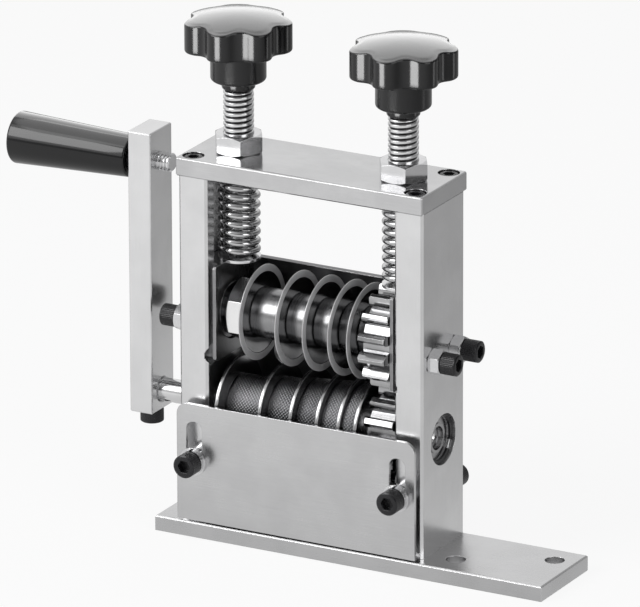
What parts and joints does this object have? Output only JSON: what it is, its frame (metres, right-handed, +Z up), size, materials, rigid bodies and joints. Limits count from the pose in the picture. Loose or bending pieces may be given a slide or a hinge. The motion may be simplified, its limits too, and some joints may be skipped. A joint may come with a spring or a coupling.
{
  "type": "hand crank wire stripper",
  "caption": "Bench frame with a sprung knife roll geared to a feed roll, turned by a side crank to slit cable sheaths drawn through graded lanes.",
  "frame": {"origin": "on the underside of the base, midway between the side plates and under the roll axes", "axes": "+X to the right along the rolls, away from the crank; +Y to the back, the way the cable is drawn in; +Z up"},
  "size_m": [0.2597, 0.0643, 0.2252],
  "materials": {
    "plate_aluminium": "satin grey plates with bright chamfered edges",
    "base_aluminium": "satin",
    "cover_steel": "satin sheet",
    "guide_steel": "satin sheet",
    "block_steel": "ground",
    "knife_steel": "satin ring round a dark polished face",
    "spool_steel": "turned",
    "shaft_steel": "polished",
    "nut_steel": "polished",
    "feed_steel": "knurled",
    "flange_steel": "polished",
    "gear_steel": "milled",
    "bearing_steel": "ground",
    "spring_steel": "polished wire",
    "zinc_steel": "zinc plated",
    "black_steel": "black oxide",
    "knob_plastic": "black, lightly polished",
    "crank_steel": "satin",
    "grip_plastic": "black, lightly polished"
  },
  "bodies": {
    "frame": {"base_plate": "base_aluminium", "base_screws": "black_steel", "top_plate": "plate_aluminium", "top_plate_screws": "black_steel", "bearing_circlips": "black_steel", "side_adjusting_screws": "black_steel", "side_screw_nuts": "zinc_steel", "plate_screws": "black_steel", "plate_screw_washers": "zinc_steel", "left_side_plate": "plate_aluminium", "right_side_plate": "plate_aluminium", "left_lower_bearing": "bearing_steel", "right_lower_bearing": "bearing_steel", "left_lock_nut": "zinc_steel", "right_lock_nut": "zinc_steel", "left_spring": "spring_steel", "right_spring": "spring_steel"},
    "crank": {"lower_shaft": "shaft_steel", "lower_key": "black_steel", "lower_gear": "gear_steel", "roller_flanges": "flange_steel", "roller_circlip": "black_steel", "feed_wheel_1": "feed_steel", "feed_wheel_2": "feed_steel", "feed_wheel_3": "feed_steel", "feed_wheel_4": "feed_steel", "feed_wheel_5": "feed_steel", "crank_arm": "crank_steel", "crank_clamp_screw": "black_steel", "handle_spindle": "zinc_steel", "handle_collar": "black_steel"},
    "grip": {"handle_grip": "grip_plastic"},
    "carriage": {"left_bearing_block": "block_steel", "right_bearing_block": "block_steel", "left_upper_bearing": "bearing_steel", "right_upper_bearing": "bearing_steel", "spring_washers": "zinc_steel"},
    "knife_roll": {"upper_shaft": "shaft_steel", "upper_key": "black_steel", "upper_gear": "gear_steel", "stack_nut": "nut_steel", "knife_disc_1": "knife_steel", "knife_disc_2": "knife_steel", "knife_disc_3": "knife_steel", "knife_disc_4": "knife_steel", "knife_disc_5": "knife_steel", "disc_spacer_1": "spool_steel", "disc_spacer_2": "spool_steel", "disc_spacer_3": "spool_steel", "disc_spacer_4": "spool_steel", "disc_spacer_5": "spool_steel"},
    "left_press": {"left_pressure_cap": "zinc_steel"},
    "right_press": {"right_pressure_cap": "zinc_steel"},
    "left_pressure_screw": {"left_adjusting_screw": "zinc_steel", "left_knob": "knob_plastic"},
    "right_pressure_screw": {"right_adjusting_screw": "zinc_steel", "right_knob": "knob_plastic"},
    "cover": {"front_cover": "cover_steel"},
    "guide": {"guide_plate": "guide_steel"}
  },
  "joints": [
    {"name": "crank_turn", "type": "hinge", "parent": "frame", "child": "crank", "pos_m": [0, 0, 0.054], "axis": [1, 0, 0], "continuous": true},
    {"name": "grip_spin", "type": "hinge", "parent": "crank", "child": "grip", "pos_m": [-0.11, 0, 0.155], "axis": [1, 0, 0], "continuous": true},
    {"name": "carriage_lift", "type": "slide", "parent": "frame", "child": "carriage", "axis": [0, 0, 1], "range_m": [0, 0.0012], "stiffness_N_per_m": 46000, "deforming": ["left_spring", "right_spring"]},
    {"name": "knife_spin", "type": "hinge", "parent": "carriage", "child": "knife_roll", "pos_m": [0, 0, 0.096], "axis": [1, 0, 0], "continuous": true},
    {"name": "left_pressure", "type": "slide", "parent": "frame", "child": "left_press", "axis": [0, 0, 1], "range_m": [-0.002, 0], "deforming": ["left_spring"]},
    {"name": "left_knob_turn", "type": "hinge", "parent": "left_press", "child": "left_pressure_screw", "pos_m": [-0.0387, 0, 0.18], "axis": [0, 0, 1], "range_deg": [-314, 1]},
    {"name": "right_pressure", "type": "slide", "parent": "frame", "child": "right_press", "axis": [0, 0, 1], "range_m": [-0.002, 0], "deforming": ["right_spring"]},
    {"name": "right_knob_turn", "type": "hinge", "parent": "right_press", "child": "right_pressure_screw", "pos_m": [0.0387, 0, 0.18], "axis": [0, 0, 1], "range_deg": [-314, 1]},
    {"name": "front_cover_slide", "type": "slide", "parent": "frame", "child": "cover", "axis": [0, 0, 1], "range_m": [0, 0.0018]},
    {"name": "guide_plate_slide", "type": "slide", "parent": "frame", "child": "guide", "axis": [0, 0, 1], "range_m": [0, 0.004]}
  ],
  "couplings": [
    {"joint": "knife_spin", "follows": "crank_turn", "ratio": -1},
    {"joint": "left_knob_turn", "follows": "left_pressure", "rad_per_m": 2731.8},
    {"joint": "right_knob_turn", "follows": "right_pressure", "rad_per_m": 2731.8}
  ]
}
